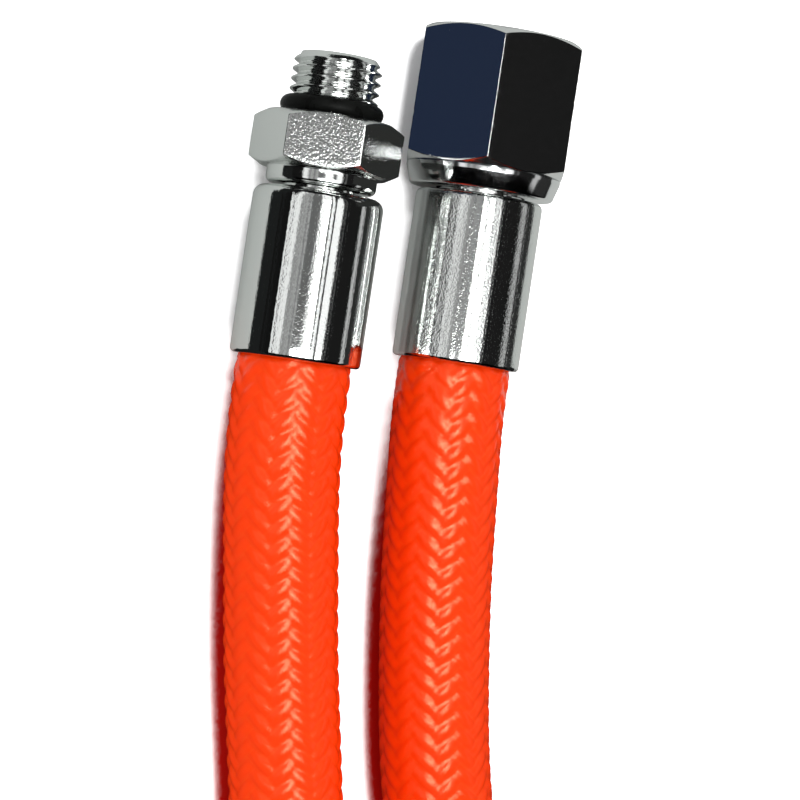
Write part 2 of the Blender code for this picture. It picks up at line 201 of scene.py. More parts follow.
# Stretches of the cover in braid pitches, each with the lattice lines on a yarn's width
stretches = [(0, 6, 2), (6, 31, 5), (31, pitches - 31, 3), (pitches - 31, pitches - 6, 5),
             (pitches - 6, pitches, 2)]
cover_points, cover_faces = [], []
turn_of, distance_of = [], []
last_ring, last_turn = None, None
for first, last, lines in stretches:
    per_ring = YARNS_EACH_WAY * lines
    rings = []
    start = 0 if first == 0 else 1
    for row in range(start, (last - first) * 2 * lines + 1):
        distance = (first + row / (2 * lines)) * pitch
        turn = math.tau * (np.arange(per_ring) + 0.5 * (row % 2)) / per_ring
        u = YARNS_EACH_WAY * turn / math.tau + distance / pitch
        v = -YARNS_EACH_WAY * turn / math.tau + distance / pitch
        height = braid_height(u, v)
        held = max(MALE_HOSE_DEPTH - distance, distance - whole_length + FEMALE_HOSE_DEPTH)
        squeeze = min(1.0, max(0.0, (held + SQUEEZE_START) / SQUEEZE_RAMP))
        core = HOSE_CORE_RADIUS - SQUEEZED_IN * squeeze
        first_index = len(turn_of)
        cover_points.append(hose_ring(distance, turn, core + height * (1 - SQUEEZED_FLAT * squeeze)))
        turn_of.extend(turn)
        distance_of.extend([distance / pitch] * per_ring)
        rings.append((np.arange(first_index, first_index + per_ring), row % 2, turn))
    if last_ring is not None:
        cover_faces += stitched(last_ring, last_turn, rings[0][0], rings[0][2])
    for index, (ring, odd, turn) in enumerate(rings):
        after = np.roll(ring, -1)
        below = rings[index - 1][0] if index else None
        above = rings[index + 1][0] if index + 1 < len(rings) else None
        between = -odd
        if below is not None and above is not None:
            cover_faces += list(zip(np.roll(below, between), after, np.roll(above, between), ring))
        elif above is not None:
            cover_faces += list(zip(ring, after, np.roll(above, between)))
        else:
            cover_faces += list(zip(after, ring, np.roll(below, between)))
    if first == 0:
        male_end_ring = rings[0][0]
    last_ring, last_turn = rings[-1][0], rings[-1][2]
female_end_ring = last_ring

# Blind bores for the two tails, so that the tube is closed
for outer_ring, end_distance, inward in ((male_end_ring, 0.0, 1),
                                         (female_end_ring, whole_length, -1)):
    turn = np.array([turn_of[i] for i in outer_ring])
    bore = []
    for distance in (end_distance, end_distance + inward * TAIL_BORE_DEPTH):
        first_index = len(turn_of)
        cover_points.append(hose_ring(distance, turn, TAIL_BORE_RADIUS))
        turn_of.extend(turn)
        distance_of.extend([distance / pitch] * len(turn))
        bore.append(np.arange(first_index, first_index + len(turn)))
    centre_index = len(turn_of)
    cover_points.append(hose_ring(end_distance + inward * TAIL_BORE_DEPTH, np.zeros(1), 0.0))
    turn_of.append(0.0)
    distance_of.append(end_distance / pitch)
    for near, far in ((outer_ring, bore[0]), (bore[0], bore[1])):
        cover_faces += list(zip(near, np.roll(near, -1), np.roll(far, -1), far))
    cover_faces += [(bore[1][i], bore[1][(i + 1) % len(turn)], centre_index)
                    for i in range(len(turn))]

cover_points = np.concatenate(cover_points)
cover_points[:, 2] = np.maximum(cover_points[:, 2], 0.0)
turn_of, distance_of = np.array(turn_of), np.array(distance_of)
cover_mesh = bpy.data.meshes.new("braided_cover")
cover_mesh.from_pydata(cover_points.tolist(), [],
                       [tuple(int(i) for i in face) for face in cover_faces])
yarn_map = cover_mesh.uv_layers.new(name="yarn")
corner_vertex = np.zeros(len(cover_mesh.loops), int)
cover_mesh.loops.foreach_get("vertex_index", corner_vertex)
loop_total = np.zeros(len(cover_mesh.polygons), int)
cover_mesh.polygons.foreach_get("loop_total", loop_total)
face_of_corner = np.repeat(np.arange(len(loop_total)), loop_total)
first_corner = np.concatenate(([0], np.cumsum(loop_total)[:-1]))
corner_turn = turn_of[corner_vertex]
reference = corner_turn[first_corner][face_of_corner]
corner_turn = reference + (corner_turn - reference + math.pi) % math.tau - math.pi
corner_u = YARNS_EACH_WAY * corner_turn / math.tau + distance_of[corner_vertex]
corner_v = -YARNS_EACH_WAY * corner_turn / math.tau + distance_of[corner_vertex]
mean_u = np.add.reduceat(corner_u, first_corner) / loop_total
mean_v = np.add.reduceat(corner_v, first_corner) / loop_total
u_over = (np.mod(np.floor(mean_u) - np.floor(mean_v), 4) < 2)[face_of_corner]
corner_map = np.stack([np.where(u_over, corner_u, corner_v),
                       np.where(u_over, corner_v, corner_u) + np.where(u_over, 0.0, OTHER_YARNS_APART)], 1)
yarn_map.uv.foreach_set("vector", corner_map.astype(np.float32).ravel())
face_outward(cover_mesh)
cover = bpy.data.objects.new("braided_hose", cover_mesh)
bpy.context.scene.collection.objects.link(cover)


class NodeSheet:
    """Short hand for placing and joining the nodes of one material or group."""

    def __init__(self, tree):
        self.tree = tree

    def add(self, kind, **values):
        """A new node, with each value set on its property or socket of that name."""
        node = self.tree.nodes.new("ShaderNode" + kind)
        sockets = {}
        for name, value in values.items():
            if hasattr(node, name):
                setattr(node, name, value)
            else:
                sockets[name] = value
        for name, value in sockets.items():
            self.feed(node, name, value)
        return node

    def feed(self, node, name, value):
        """Set or link a node's input, named in words or, as in0, in1 and so on, by its place."""
        socket = node.inputs[int(name[2:]) if name.startswith("in") else name.replace("_", " ")]
        if isinstance(value, bpy.types.NodeSocket):
            self.tree.links.new(value, socket)
        else:
            socket.default_value = value

    def math(self, operation, first, second=0.0, third=0.0):
        """What the operation makes of its values."""
        node = self.add("Math", operation=operation, in0=first, in1=second)
        if operation == "MULTIPLY_ADD":
            self.feed(node, "in2", third)
        return node.outputs[0]

    def graded(self, value, low, high, to_low=0.0, to_high=1.0):
        """Value run from low to high onto to_low to to_high, eased and held at both ends."""
        return self.add("MapRange", interpolation_type="SMOOTHSTEP", Value=value, From_Min=low,
                        From_Max=high, To_Min=to_low, To_Max=to_high).outputs[0]

    def mixed(self, share, first, second):
        """Colour that goes from the first to the second while share goes from 0 to 1."""
        return self.add("Mix", data_type="RGBA", in0=share, in6=first, in7=second).outputs[2]

    def surface(self, shader):
        """Make this shader node the one that the material's surface shows."""
        self.tree.links.new(shader.outputs[0], self.tree.nodes["Material Output"].inputs[0])


def new_finish(name, **constants):
    """A material with its shader's plain values set, and a sheet to add its detail to."""
    finish = bpy.data.materials.new(name)
    finish.use_nodes = True
    shader = finish.node_tree.nodes["Principled BSDF"]
    for socket, value in constants.items():
        shader.inputs[socket.replace("_", " ")].default_value = value
    return finish, shader, NodeSheet(finish.node_tree)


def new_effect(name, inputs, outputs):
    """An empty shader node group with named number inputs and outputs."""
    group = bpy.data.node_groups.new(name, "ShaderNodeTree")
    for label, value in inputs:
        socket = group.interface.new_socket(label, in_out="INPUT", socket_type="NodeSocketFloat")
        socket.default_value = value
    for label in outputs:
        group.interface.new_socket(label, in_out="OUTPUT", socket_type="NodeSocketFloat")
    given = group.nodes.new("NodeGroupInput").outputs
    result = group.nodes.new("NodeGroupOutput").inputs
    return group, NodeSheet(group), given, result


def place_effect(sheet, group, **values):
    """The outputs of a node group placed on the sheet, with its inputs set."""
    node = sheet.tree.nodes.new("ShaderNodeGroup")
    node.node_tree = group
    for name, value in values.items():
        sheet.feed(node, name, value)
    return node.outputs


braid_finish, braid_shader, sheet = new_finish(
    "orange_braid_yarn", IOR=1.5, Specular_IOR_Level=0.6, Specular_Tint=(1.0, 0.70, 0.42, 1.0))
yarn = sheet.add("UVMap", uv_map="yarn")
split = sheet.add("SeparateXYZ", Vector=yarn.outputs[0])
from_middle = sheet.math("ABSOLUTE", sheet.math("SUBTRACT", sheet.math("FRACT", split.outputs[0]), 0.5))
fibres = sheet.add("TexNoise",
                   Vector=sheet.add("VectorMath", operation="MULTIPLY", in0=yarn.outputs[0],
                                    in1=(26.0, 1.6, 1.0)).outputs[0],
                   Scale=1.0, Detail=3.0, Roughness=0.55)
uneven = sheet.add("TexNoise", Vector=sheet.add("TexCoord").outputs["Object"], Scale=900.0,
                   Detail=2.0)
# Painted light: the grooves between yarns are coloured a touch lighter orange than the crowns, standing in
# for light bounced between the yarns, which evens out their shade
groove_painted_light = sheet.graded(from_middle, 0.30, 0.50)
orange = sheet.mixed(groove_painted_light, (1.0, 0.048, 0.002, 1.0), (1.0, 0.056, 0.003, 1.0))
orange = sheet.mixed(sheet.graded(uneven.outputs[0], 0.35, 0.75, 0.0, 0.4), orange,
                     (1.0, 0.038, 0.001, 1.0))
sheet.feed(braid_shader, "Base_Color", orange)
sheet.feed(braid_shader, "Roughness", sheet.graded(fibres.outputs[0], 0.3, 0.7, 0.16, 0.26))
fibre_bump = sheet.add("Bump", Strength=0.20, Distance=0.00006, Height=fibres.outputs[0])
sheet.feed(braid_shader, "Normal", fibre_bump.outputs[0])
cover.data.materials.append(braid_finish)

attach(cover, "hose_assembly")
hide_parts("hose")


# Chrome plate on both fittings and ferrules. Turned and pressed brass, polished and plated: the
# plate has a fine orange peel, faint lines from drawing and polishing, and dust specks.
def outline(corners, count, steps=4):
    """Outlines, one for each angle, from corners (radius, s, fillet) that may be arrays."""
    r = np.stack([np.broadcast_to(corner[0], count) for corner in corners], 1).astype(float)
    s = np.stack([np.broadcast_to(corner[1], count) for corner in corners], 1).astype(float)
    out_r, out_s = [], []
    for k, corner in enumerate(corners):
        fillet = corner[2]
        here = np.stack([r[:, k], s[:, k]], 1)
        if fillet == 0:
            out_r.append(here[:, 0]), out_s.append(here[:, 1])
            continue
        before = np.stack([r[:, k - 1], s[:, k - 1]], 1) - here
        after_k = (k + 1) % len(corners)
        after = np.stack([r[:, after_k], s[:, after_k]], 1) - here
        before /= np.linalg.norm(before, axis=1, keepdims=True)
        after /= np.linalg.norm(after, axis=1, keepdims=True)
        half = np.arccos(np.clip((before * after).sum(1), -1, 1))[:, None] / 2
        bisector = before + after
        bisector /= np.linalg.norm(bisector, axis=1, keepdims=True)
        centre = here + bisector * fillet / np.sin(half)
        start = here + before * fillet / np.tan(half) - centre
        end = here + after * fillet / np.tan(half) - centre
        spread = np.pi - 2 * half
        for step in range(steps + 1):
            t = step / steps
            point = centre + (start * np.sin((1 - t) * spread)
                              + end * np.sin(t * spread)) / np.sin(spread)
            out_r.append(point[:, 0]), out_s.append(point[:, 1])
    return np.stack(out_r, 1), np.stack(out_s, 1)


def worked_round(name, mouth, angles, radius, along, finish):
    """A closed piece round a fitting's axis, from its outline at each angle."""
    count, points = radius.shape
    places = np.stack([mouth.x + radius * np.cos(angles)[:, None], mouth.y + along,
                       mouth.z + radius * np.sin(angles)[:, None]], 2).reshape(-1, 3)
    grid = np.arange(count * points).reshape(count, points)
    turned, onward = np.roll(grid, -1, 0), np.roll(grid, -1, 1)
    both = np.roll(turned, -1, 1)
    faces = np.stack([grid, turned, both, onward], 2).reshape(-1, 4)
    mesh = bpy.data.meshes.new(name)
    mesh.from_pydata(places.tolist(), [], faces.tolist())
    face_outward(mesh)
    mesh.set_sharp_from_angle(angle=math.radians(38.0))
    mesh.materials.append(finish)
    piece = bpy.data.objects.new(name, mesh)
    bpy.context.scene.collection.objects.link(piece)
    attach(piece, "hose_assembly")
    return piece


orange_peel, sheet, given, result = new_effect(
    "orange_peel", [("Grain", 0.0004), ("Fine grain", 0.0001), ("Fine share", 0.4)], ["Height"])
where = sheet.add("TexCoord").outputs["Object"]
coarse = sheet.add("TexNoise", Vector=where, Scale=sheet.math("DIVIDE", 1.0, given["Grain"]),
                   Detail=1.0)
fine = sheet.add("TexNoise", Vector=where, Scale=sheet.math("DIVIDE", 1.0, given["Fine grain"]),
                 Detail=1.0)
sheet.tree.links.new(
    sheet.math("ADD", coarse.outputs[0], sheet.math("MULTIPLY", fine.outputs[0], given["Fine share"])),
    result["Height"])

drawn_lines, sheet, given, result = new_effect(
    "drawn_lines", [("Line width", 0.0006), ("Line length", 0.02)], ["Height"])
where = sheet.add("SeparateXYZ", Vector=sheet.add("TexCoord").outputs["Object"])
stretched = sheet.add("CombineXYZ", X=sheet.math("DIVIDE", where.outputs[0], given["Line width"]),
                      Y=sheet.math("DIVIDE", where.outputs[1], given["Line length"]),
                      Z=sheet.math("DIVIDE", where.outputs[2], given["Line width"]))
lines = sheet.add("TexNoise", Vector=stretched.outputs[0], Scale=1.0, Detail=3.0, Roughness=0.6)
sheet.tree.links.new(lines.outputs[0], result["Height"])

specks, sheet, given, result = new_effect(
    "specks", [("Spacing", 0.0021), ("Size", 0.035)], ["Mask"])
cells = sheet.add("TexVoronoi", Vector=sheet.add("TexCoord").outputs["Object"],
                  Scale=sheet.math("DIVIDE", 1.0, given["Spacing"]), Randomness=1.0)
near = sheet.add("MapRange", Value=cells.outputs["Distance"], From_Min=0.0,
                 From_Max=given["Size"], To_Min=1.0, To_Max=0.0)
chosen = sheet.add("SeparateXYZ", Vector=cells.outputs["Color"])
picked = sheet.math("GREATER_THAN", chosen.outputs[0], 0.72)
sheet.tree.links.new(sheet.math("MULTIPLY", near.outputs[0], picked), result["Mask"])


def chrome_finish(name, colour, roughness, grain, peel, lines_width, lines_depth,
                  mouth=None, milled_from=0.0):
    """Chrome plate with its own orange peel, polishing lines and specks of dust.

    With a mouth given, the peel is strong only on flats that lie further out than milled_from.
    """
    finish, shader, sheet = new_finish(name, Metallic=1.0)
    peel_height = place_effect(sheet, orange_peel, Grain=grain)["Height"]
    line_height = place_effect(sheet, drawn_lines, Line_width=lines_width)["Height"]
    dust = place_effect(sheet, specks)["Mask"]
    raised = peel_height
    if mouth is not None:
        where = sheet.add("SeparateXYZ", Vector=sheet.add("TexCoord").outputs["Object"])
        out_x = sheet.math("SUBTRACT", where.outputs[0], mouth.x)
        out_z = sheet.math("SUBTRACT", where.outputs[2], mouth.z)
        out = sheet.math("SQRT", sheet.math("ADD", sheet.math("MULTIPLY", out_x, out_x),
                                            sheet.math("MULTIPLY", out_z, out_z)))
        raised = sheet.math("MULTIPLY", peel_height,
                            sheet.graded(out, milled_from - 0.0003, milled_from, 0.16, 1.0))
    first = sheet.add("Bump", Strength=1.0, Distance=peel, Height=raised)
    second = sheet.add("Bump", Strength=1.0, Distance=lines_depth, Height=line_height,
                       Normal=first.outputs[0])
    sheet.feed(shader, "Base_Color", sheet.mixed(dust, colour, (0.60, 0.60, 0.57, 1.0)))
    sheet.feed(shader, "Metallic", sheet.math("SUBTRACT", 1.0, dust))
    sheet.feed(shader, "Roughness", sheet.graded(peel_height, 0.3, 1.0, roughness, roughness + 0.04))
    sheet.feed(shader, "Normal", second.outputs[0])
    return finish


CHROME = (0.78, 0.80, 0.785, 1.0)


# Male end fitting. One piece turned from hexagonal brass bar and chromed: a barbed tail inside
# the hose, a round neck, a 14 mm hexagon, and a short 3/8 inch nose with 24 threads to the inch.
HEX_SLOPE = math.tan(math.radians(30.0))
HEX_INSET = 0.0003
LOCK_LENGTH, LOCK_RADIUS = 0.0020, 0.0039
COLLAR_LENGTH, COLLAR_RADIUS = 0.0009, 0.0047
TAIL_LENGTH, TAIL_RADIUS, TAIL_BORE = 0.0135, 0.0023, 0.0016
INCH = 0.0254
BARB_RADIUS, BARB_PITCH, BARB_RAMP = 0.00275, 0.0024, 0.0017


def worn_hexagon(across_flats, worn_round, flat_steps, corner_steps, first_corner):
    """Angles and radii round a hexagon with worn corners."""
    points, arcs = [], []
    centre_r = across_flats / math.sqrt(3.0) - worn_round / math.sin(math.radians(60.0))
    for corner in range(6):
        middle = math.radians(first_corner + 60.0 * corner)
        centre = centre_r * np.array([math.cos(middle), math.sin(middle)])
        arcs.append([centre + worn_round * np.array([math.cos(middle + lean), math.sin(middle + lean)])
                     for lean in np.radians(np.linspace(-30, 30, corner_steps + 1))])
    for corner in range(6):
        start, end = arcs[corner][-1], arcs[(corner + 1) % 6][0]
        points += arcs[corner]
        points += [start + (end - start) * step / flat_steps for step in range(1, flat_steps)]
    points = np.array(points)
    return np.arctan2(points[:, 1], points[:, 0]), np.hypot(points[:, 0], points[:, 1])


def hexagon_band(flat_r, hex_radius, bottom, top, fillet, rows=8):
    """Corners of a hexagon's outline at each angle, chamfered at both ends, from the top down."""
    face_r = flat_r - HEX_INSET
    drop = (hex_radius - face_r) * HEX_SLOPE
    flat = [(hex_radius, top - drop + (bottom - top + 2 * drop) * row / rows, 0)
            for row in range(1, rows)]
    return [(face_r, top, 0), (hex_radius, top - drop, fillet), *flat,
            (hex_radius, bottom + drop, fillet), (face_r, bottom, 0)]


def barbed_tail(shoulder_s):
    """Corners of a tail, from the shoulder down: ferrule's groove, collar, five barbs and tip."""
    collar_top = shoulder_s - LOCK_LENGTH
    collar_s = collar_top - COLLAR_LENGTH
    tip = collar_s - TAIL_LENGTH
    corners = [(LOCK_RADIUS, shoulder_s, 0), (LOCK_RADIUS, collar_top, 0),
               (COLLAR_RADIUS, collar_top, 0), (COLLAR_RADIUS, collar_s, 0),
               (TAIL_RADIUS, collar_s, 0)]
    for barb in reversed(range(5)):
        ramp = tip + barb * BARB_PITCH
        corners += [(TAIL_RADIUS, ramp + BARB_RAMP, 0), (BARB_RADIUS, ramp + BARB_RAMP, 0),
                    (TAIL_RADIUS, ramp, 0)]
    return [*corners, (TAIL_BORE, tip, 0)]


def thread_radius(angles, s, pitch_length, crest, root):
    """Radius of a right-hand thread with flattened crests."""
    phase = np.mod(s / pitch_length + angles[:, None] / math.tau, 1.0)
    ridge = np.clip((0.5 - np.abs(phase - 0.5)) * 2, 0, 1)
    ridge = np.clip((ridge - 0.12) / 0.76, 0, 1)
    ridge = ridge * ridge * (3 - 2 * ridge) * 0.2 + ridge * 0.8
    return root + (crest - root) * ridge


male_chrome = chrome_finish(
    "chrome_male_fitting", CHROME, roughness=0.06, grain=0.00028, peel=0.000031,
    lines_width=0.0005, lines_depth=0.0000015, mouth=male_mouth, milled_from=0.0067)
hex_angles, hex_radius = worn_hexagon(across_flats=0.0140, worn_round=0.00022, flat_steps=20,
                                      corner_steps=6, first_corner=90.0)
neck_s, hex_s, ring_s, thread_s, nose_s = 0.0183, 0.02005, 0.0259, 0.0277, 0.0325
neck_r, groove_r = 0.0059, 0.00405
nose_blank, nose_crest, nose_root = 0.00475, 0.00476, 0.00412
thread_rows = np.linspace(nose_s - 0.0004, thread_s + 0.0001, 64)
male_corners = [
    (0.00250, nose_s, 0), (0.00400, nose_s, 0.00008),
    *[(nose_blank, s, 0) for s in thread_rows],
    (groove_r, thread_s, 0), (groove_r, ring_s, 0),
    *hexagon_band(0.0070, hex_radius, hex_s, ring_s, 0.00012),
    (neck_r, hex_s, 0.00015), (neck_r, neck_s + 0.0010, 0), (neck_r, neck_s, 0.0007),
    *barbed_tail(neck_s), (TAIL_BORE, 0.0236, 0), (0.0025, 0.0245, 0)]
male_r, male_along = outline(male_corners, len(hex_angles))
thread_r = thread_radius(hex_angles, male_along, INCH / 24, nose_crest, nose_root)
tip_cut = nose_crest - np.clip((male_along - (nose_s - 0.0009)) / 0.0009, 0, 1) * 0.00075
male_r = np.where(np.isclose(male_r, nose_blank), np.minimum(thread_r, tip_cut), male_r)
male_fitting = worked_round("male_fitting", male_mouth, hex_angles, male_r, male_along, male_chrome)
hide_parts("male_end_fitting")


# O-ring at the foot of the threaded nose. Moulded black nitrile rubber, a little greased, that
# seals against the port when the hexagon draws up to it.
ring_rubber, ring_shader, sheet = new_finish("greased_black_rubber", Specular_IOR_Level=0.05)
smudge = sheet.add("TexNoise", Vector=sheet.add("TexCoord").outputs["Object"], Scale=700.0,
                   Detail=3.0)
sheet.feed(ring_shader, "Base_Color", sheet.mixed(smudge.outputs[0], (0.003, 0.003, 0.003, 1.0),
                                                  (0.010, 0.011, 0.010, 1.0)))
sheet.feed(ring_shader, "Roughness", sheet.graded(smudge.outputs[0], 0.3, 0.7, 0.22, 0.45))


def rubber_ring(name, mouth, ring_radius, section, centre_s, sides=24, count=120):
    """An O-ring round a fitting's axis, from the radii of the ring and of its section."""
    around = np.arange(sides) * math.tau / sides
    radius = np.tile(ring_radius + section * np.cos(around), (count, 1))
    along = np.tile(centre_s - section * np.sin(around), (count, 1))
    return worked_round(name, mouth, np.arange(count) * math.tau / count, radius, along,
                        ring_rubber)


male_ring = rubber_ring("nose_seal_ring", male_mouth, 0.00460, 0.00094, ring_s + 0.00094)
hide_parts("male_o_ring")


# Ferrules. Two thin sleeves drawn from brass tube, polished and chromed, then pressed down on
# the hose: the press leaves shallow lines along them, a rolled mouth and a rounded shoulder.
male_sleeve_chrome = chrome_finish("chrome_male_sleeve", CHROME, roughness=0.03, grain=0.00024,
                                   peel=0.000009, lines_width=0.0006, lines_depth=0.000008)
female_sleeve_chrome = chrome_finish("chrome_female_sleeve", CHROME, roughness=0.04, grain=0.00022,
                                     peel=0.000022, lines_width=0.0005, lines_depth=0.000008)


def ferrule(name, node, mouth, length, shoulder, finish, seed, columns=480, rows=20):
    """A pressed sleeve whose outside is gently uneven round it, by a fraction of a hair."""
    angles = np.arange(columns) * math.tau / columns
    outer, inner, lip = 0.0070, 0.0061, 0.0042
    side = [(outer, length - shoulder - (length - shoulder - 0.0006) * row / rows, 0)
            for row in range(1, rows)]
    corners = [(outer, length, shoulder), *side, (outer, 0.0, 0.00045), (inner, 0.0, 0.0002),
               (inner, length - 0.0014, 0), (lip, length - 0.0014, 0), (lip, length, 0)]
    radius, along = outline(corners, columns, 5)
    rng = np.random.default_rng(seed)
    press = np.zeros(columns)
    for waves in range(6, 40):
        press += rng.normal() * 0.0000075 / (waves / 8.0) * np.cos(waves * angles + rng.uniform(0, 7))
    for _ in range(48):
        apart = (angles - rng.uniform(0, math.tau) + math.pi) % math.tau - math.pi
        depth, width = rng.uniform(2e-6, 9e-6), rng.uniform(0.010, 0.030)
        press += rng.choice([-1, 1]) * depth * np.exp(-(apart / width) ** 2)
    outside = np.clip((radius - 0.0064) / 0.0005, 0, 1)
    radius = radius - outside * (press[:, None] - press.min())
    sleeve = worked_round(name, mouth, angles, radius, along, finish)
    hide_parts(node)


ferrule("male_sleeve", "male_ferrule", male_mouth, 0.0180, 0.0012, male_sleeve_chrome, 3)
ferrule("female_sleeve", "female_ferrule", female_mouth, 0.0184, 0.0006, female_sleeve_chrome, 8)


# Female stem and its O-ring. Turned brass, chromed: a barbed tail in the hose, the neck that
# the nut turns on, the flange that holds the nut, and the nose that seals with the O-ring.
stem_chrome = chrome_finish("chrome_stem", (0.80, 0.81, 0.80, 1.0), roughness=0.08, grain=0.0004,
                            peel=0.000006, lines_width=0.0005, lines_depth=0.000003)
stem_angles = np.arange(120) * math.tau / 120
stem_nose_r, stem_neck_r, flange_r, stem_groove_r = 0.00395, 0.0046, 0.0061, 0.00295
stem_shoulder_s, flange_s, flange_top_s, stem_tip_s = 0.0187, 0.0238, 0.0268, 0.0310
stem_corners = [
    (stem_nose_r, stem_tip_s, 0.0004), (stem_nose_r, 0.0301, 0.0001),
    (stem_groove_r, 0.0301, 0.0001), (stem_groove_r, 0.0278, 0.0001),
    (stem_nose_r, 0.0278, 0.0001), (stem_nose_r, flange_top_s, 0.0001),
    (flange_r, flange_top_s, 0.0004), (flange_r, flange_s, 0.0001),
    (stem_neck_r, flange_s, 0), (stem_neck_r, stem_shoulder_s, 0),
    *barbed_tail(stem_shoulder_s), (TAIL_BORE, 0.0306, 0), (0.0020, stem_tip_s, 0)]
stem_r, stem_along = outline(stem_corners, len(stem_angles))
stem = worked_round("swivel_stem", female_mouth, stem_angles, stem_r, stem_along, stem_chrome)
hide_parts("female_stem")
stem_ring = rubber_ring("stem_seal_ring", female_mouth, 0.0041, 0.00085, 0.02895)
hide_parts("female_stem_o_ring")


# Swivel nut. Turned from 17 mm hexagonal brass bar with a round collar at the back, threaded
# inside for a 9/16 inch nose, and chromed. Spanners have worn its corners through the polish.
nut_chrome = chrome_finish("chrome_nut", (0.78, 0.79, 0.79, 1.0), roughness=0.07, grain=0.0006,
                           peel=0.000004, lines_width=0.0008, lines_depth=0.000003)
nut_angles, nut_hex = worn_hexagon(across_flats=0.0170, worn_round=0.00009, flat_steps=22,
                                   corner_steps=6, first_corner=0.0)
nut_throat, nut_bore, nut_root = 0.0049, 0.0064, 0.00715
nut_bottom, nut_hex_bottom, nut_shoulder, nut_top = 0.0188, 0.0211, 0.0235, 0.0361
inner_rows = np.linspace(0.0260, nut_top - 0.0004, 96)
nut_corners = [
    *hexagon_band(0.0085, nut_hex, nut_hex_bottom, nut_top, 0.00012, 60),
    (0.00845, nut_hex_bottom, 0), (0.00842, nut_hex_bottom - 0.0004, 0.0002),
    (0.00782, nut_bottom, 0.0004),
    (nut_throat, nut_bottom, 0), (nut_throat, nut_shoulder, 0), (nut_root, nut_shoulder, 0),
    (nut_root, 0.0257, 0), *[(nut_bore, s, 0) for s in inner_rows], (0.00720, nut_top, 0)]
nut_r, nut_along = outline(nut_corners, len(nut_angles))
nut_thread = thread_radius(nut_angles, nut_along, INCH / 18, nut_bore, nut_root)
mouth_cut = nut_bore + np.clip((nut_along - (nut_top - 0.0008)) / 0.0008, 0, 1) * 0.00075
nut_r = np.where(np.isclose(nut_r, nut_bore), np.maximum(nut_thread, mouth_cut), nut_r)
knocks = np.random.default_rng(21)
for corner in range(6):
    from_here = np.abs((nut_angles - math.radians(60.0 * corner) + math.pi) % math.tau - math.pi)
    near_corner = np.exp(-(from_here / 0.030) ** 2)[:, None]
    for _ in range(34):
        place, long = knocks.uniform(nut_hex_bottom, nut_top), knocks.uniform(0.00008, 0.00030)
        deep = knocks.uniform(0.000005, 0.000030)
        hit = np.exp(-((nut_along - place) / long) ** 2)
        nut_r = np.where(nut_r > 0.0086, nut_r - near_corner * hit * deep, nut_r)
nut = worked_round("worn_swivel_nut", female_mouth, nut_angles, nut_r, nut_along, nut_chrome)
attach(nut, "nut")
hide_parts("swivel_nut")


# Studio. A white table, an even white surround, one soft lamp beside the camera, and screens
# and cards that only mirror reflections meet, since polished chrome shows what stands round it:
# dark at the sides, with pale openings between them.
SCREEN_RADIUS = 0.45
TENT_RADIUS = 0.058
WHITE = (1.0, 1.0, 1.0, 1.0)
TABLE_WHITE = (0.8, 0.8, 0.8, 1.0)
# Painted shade: a dark red painted into the table's colour close under the hoses
PAINTED_RED_SHADE = (0.50, 0.012, 0.008, 1.0)
table_mesh = bpy.data.meshes.new("table")
table_mesh.from_pydata([(-3, -3, 0), (3, -3, 0), (3, 3, 0), (-3, 3, 0)], [], [(0, 1, 2, 3)])
table = bpy.data.objects.new("table", table_mesh)
bpy.context.scene.collection.objects.link(table)
table_finish, table_shader, sheet = new_finish(
    "white_table", Base_Color=TABLE_WHITE, Roughness=0.6, Specular_IOR_Level=0.0)
path = sheet.add("LightPath").outputs
seen = sheet.math("MAXIMUM", path["Is Camera Ray"], path["Is Glossy Ray"])
seen = sheet.math("MAXIMUM", seen, path["Is Transmission Ray"])
# The table's glow lifts it to plain white where nothing stands close and fades near the pieces, a painted
# contact shadow; close under the hoses a red shade is also painted into its colour
open_sky = sheet.add("AmbientOcclusion", samples=16, Distance=0.004).outputs["AO"]
place = sheet.add("SeparateXYZ", Vector=sheet.add("TexCoord").outputs["Object"])
hose_part = sheet.graded(place.outputs[1], -0.0225, -0.0195, 1.0, 0.0)
openness = sheet.math("MULTIPLY_ADD", hose_part, -0.09, open_sky)
glow_clear_of_painted_shadow = sheet.graded(openness, 0.43, 0.52, sheet.math("MULTIPLY_ADD", hose_part, -0.1, 0.1))
red_shade_painted_mask = sheet.math("MULTIPLY", hose_part, sheet.graded(openness, 0.43, 0.51, 1.0, 0.0))
sheet.feed(table_shader, "Base_Color", sheet.mixed(red_shade_painted_mask, TABLE_WHITE, PAINTED_RED_SHADE))
table_glow = sheet.add("Emission", Color=WHITE, Strength=sheet.math("MULTIPLY", seen, glow_clear_of_painted_shadow))
sheet.surface(sheet.add("AddShader", in0=table_shader.outputs[0], in1=table_glow.outputs[0]))
table_mesh.materials.append(table_finish)

surround = bpy.data.worlds.new("white_surround")
surround.use_nodes = True
surround.node_tree.nodes["Background"].inputs[0].default_value = WHITE
surround.node_tree.nodes["Background"].inputs[1].default_value = 0.92
bpy.context.scene.world = surround

lamp_turn = math.radians(104.0)
lamp_reach = SCREEN_RADIUS - 0.01
lamp_data = bpy.data.lights.new("soft_lamp", "AREA")
lamp_data.shape = "RECTANGLE"
lamp_data.size, lamp_data.size_y = 0.05, 0.22
lamp_data.energy = 0.45
lamp = bpy.data.objects.new("soft_lamp", lamp_data)
lamp.location = (lamp_reach * math.cos(lamp_turn), 0.0, lamp_reach * math.sin(lamp_turn))
lamp.rotation_euler = (0.0, math.pi / 2 - lamp_turn, 0.0)
bpy.context.scene.collection.objects.link(lamp)


